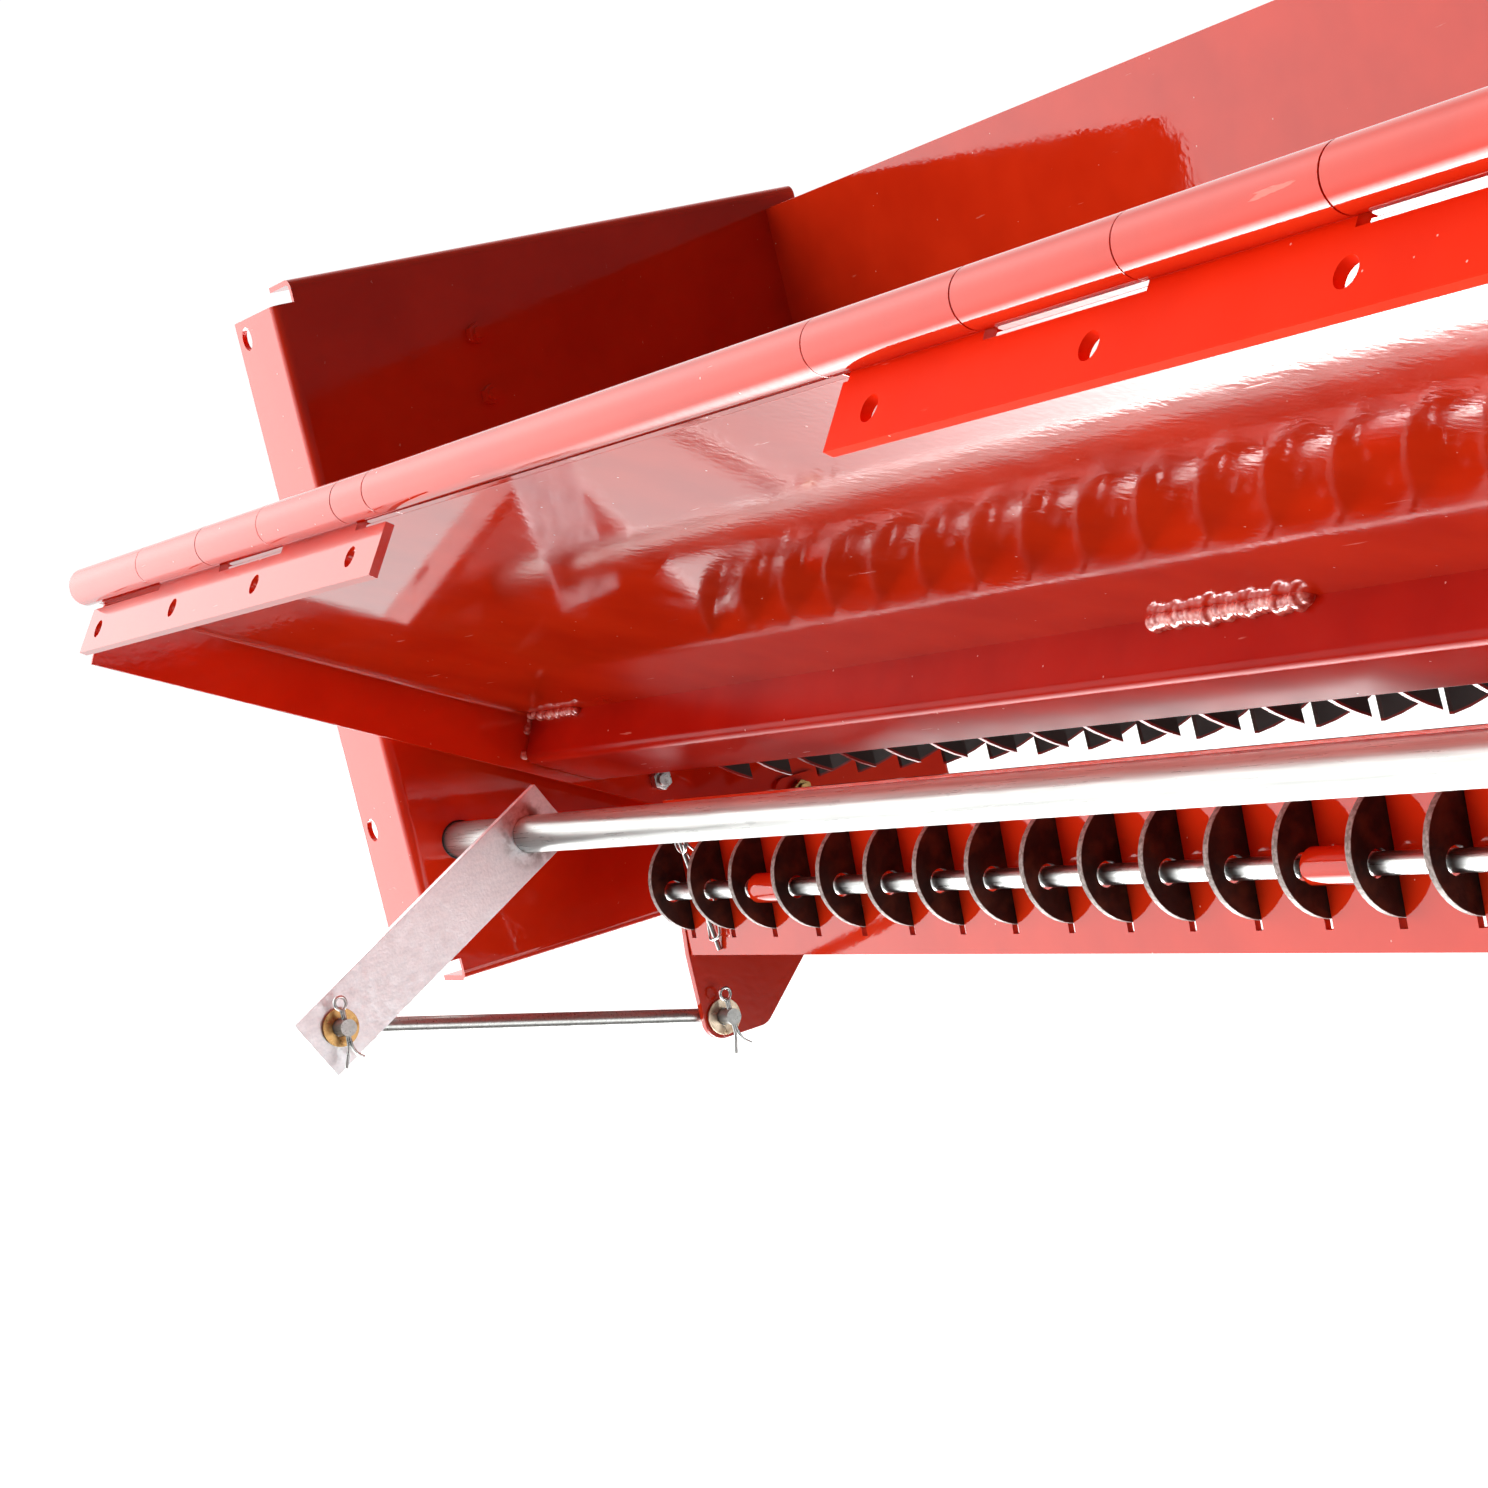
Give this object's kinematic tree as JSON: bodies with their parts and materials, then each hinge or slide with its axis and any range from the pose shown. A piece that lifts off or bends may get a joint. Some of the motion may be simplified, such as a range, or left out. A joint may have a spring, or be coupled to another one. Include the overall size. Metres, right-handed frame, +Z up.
{
  "type": "grain auger",
  "caption": "Open-bottomed cross auger with a sloping front pan, hinged drilled leaves and a tilting slotted comb with breaker discs.",
  "frame": {"origin": "middle of the bolt pattern in the end plates' front flanges, on their front face", "axes": "+X to the right along the auger, -Y to the front, +Z up"},
  "size_m": [2.4655, 0.8815, 0.7789],
  "materials": {
    "red_paint": "gloss",
    "dark_flight": "satin",
    "zinc_plate": "satin",
    "yellow_zinc": "satin",
    "mill_scale": "satin",
    "bright_bar": "polished",
    "grey_casting": "matte",
    "black_nylon": "matte"
  },
  "bodies": {
    "frame": {"front_pan": "red_paint", "pan_stiffener": "red_paint", "rear_trough": "red_paint", "pan_hinge_tube": "red_paint", "hinge_pin": "bright_bar", "end_plate_left": "red_paint", "bearing_housing_left": "grey_casting", "bearing_bolts_left": "zinc_plate", "pan_bolts_left": "zinc_plate", "pan_spacers_left": "red_paint", "cover_bolts_left": "red_paint", "pivot_hanger_left": "red_paint", "hanger_bolt_left": "yellow_zinc", "adjusting_bush_left": "black_nylon", "pivot_bush_left": "black_nylon", "end_plate_right": "red_paint", "bearing_housing_right": "grey_casting", "bearing_bolts_right": "zinc_plate", "pan_bolts_right": "zinc_plate", "pan_spacers_right": "red_paint", "cover_bolts_right": "red_paint", "pivot_hanger_right": "red_paint", "hanger_bolt_right": "yellow_zinc", "adjusting_bush_right": "black_nylon", "pivot_bush_right": "black_nylon"},
    "auger": {"auger_tube": "red_paint", "auger_flight": "dark_flight", "stub_shaft_left": "bright_bar", "bearing_insert_left": "bright_bar", "stub_shaft_right": "bright_bar", "bearing_insert_right": "bright_bar"},
    "adjuster": {"adjusting_tube": "zinc_plate", "lever_arm_left": "zinc_plate", "lever_arm_right": "zinc_plate"},
    "link_left": {"link_rod_left": "zinc_plate", "split_pins_left": "zinc_plate", "lever_washer_left": "yellow_zinc", "bracket_washer_left": "zinc_plate"},
    "link_right": {"link_rod_right": "zinc_plate", "split_pins_right": "zinc_plate", "lever_washer_right": "yellow_zinc", "bracket_washer_right": "zinc_plate"},
    "comb": {"comb_pivot_tube": "red_paint", "comb_plate": "red_paint", "comb_rib": "red_paint", "breaker_discs": "mill_scale", "disc_rod": "bright_bar", "rod_bosses": "red_paint", "rod_clip": "bright_bar", "comb_bracket_left": "red_paint", "comb_bracket_right": "red_paint"},
    "leaf_left": {"hinge_leaf_left": "red_paint"},
    "leaf_right": {"hinge_leaf_right": "red_paint"}
  },
  "joints": [
    {"name": "auger_spin", "type": "hinge", "parent": "frame", "child": "auger", "pos_m": [0, 0.39, -0.15], "axis": [1, 0, 0], "continuous": true},
    {"name": "comb_tilt", "type": "hinge", "parent": "frame", "child": "comb", "pos_m": [0, 0.419, -0.3637], "axis": [1, 0, 0], "range_deg": [-12, 0]},
    {"name": "adjuster_turn", "type": "hinge", "parent": "frame", "child": "adjuster", "pos_m": [0, 0.0508, -0.2654], "axis": [1, 0, 0], "range_deg": [-12, 0]},
    {"name": "link_left_turn", "type": "hinge", "parent": "adjuster", "child": "link_left", "pos_m": [-0.968, -0.17105, -0.38064], "axis": [1, 0, 0], "range_deg": [0, 12]},
    {"name": "link_right_turn", "type": "hinge", "parent": "adjuster", "child": "link_right", "pos_m": [0.968, -0.17105, -0.38064], "axis": [1, 0, 0], "range_deg": [0, 12]},
    {"name": "leaf_left_hinge", "type": "hinge", "parent": "frame", "child": "leaf_left", "pos_m": [0, -0.2511, 0.0438], "axis": [1, 0, 0], "range_deg": [-110, 11]},
    {"name": "leaf_right_hinge", "type": "hinge", "parent": "frame", "child": "leaf_right", "pos_m": [0, -0.2511, 0.0438], "axis": [1, 0, 0], "range_deg": [-110, 11]}
  ],
  "couplings": [
    {"joint": "adjuster_turn", "follows": "comb_tilt", "ratio": 1},
    {"joint": "link_left_turn", "follows": "comb_tilt", "ratio": -1},
    {"joint": "link_right_turn", "follows": "comb_tilt", "ratio": -1}
  ]
}
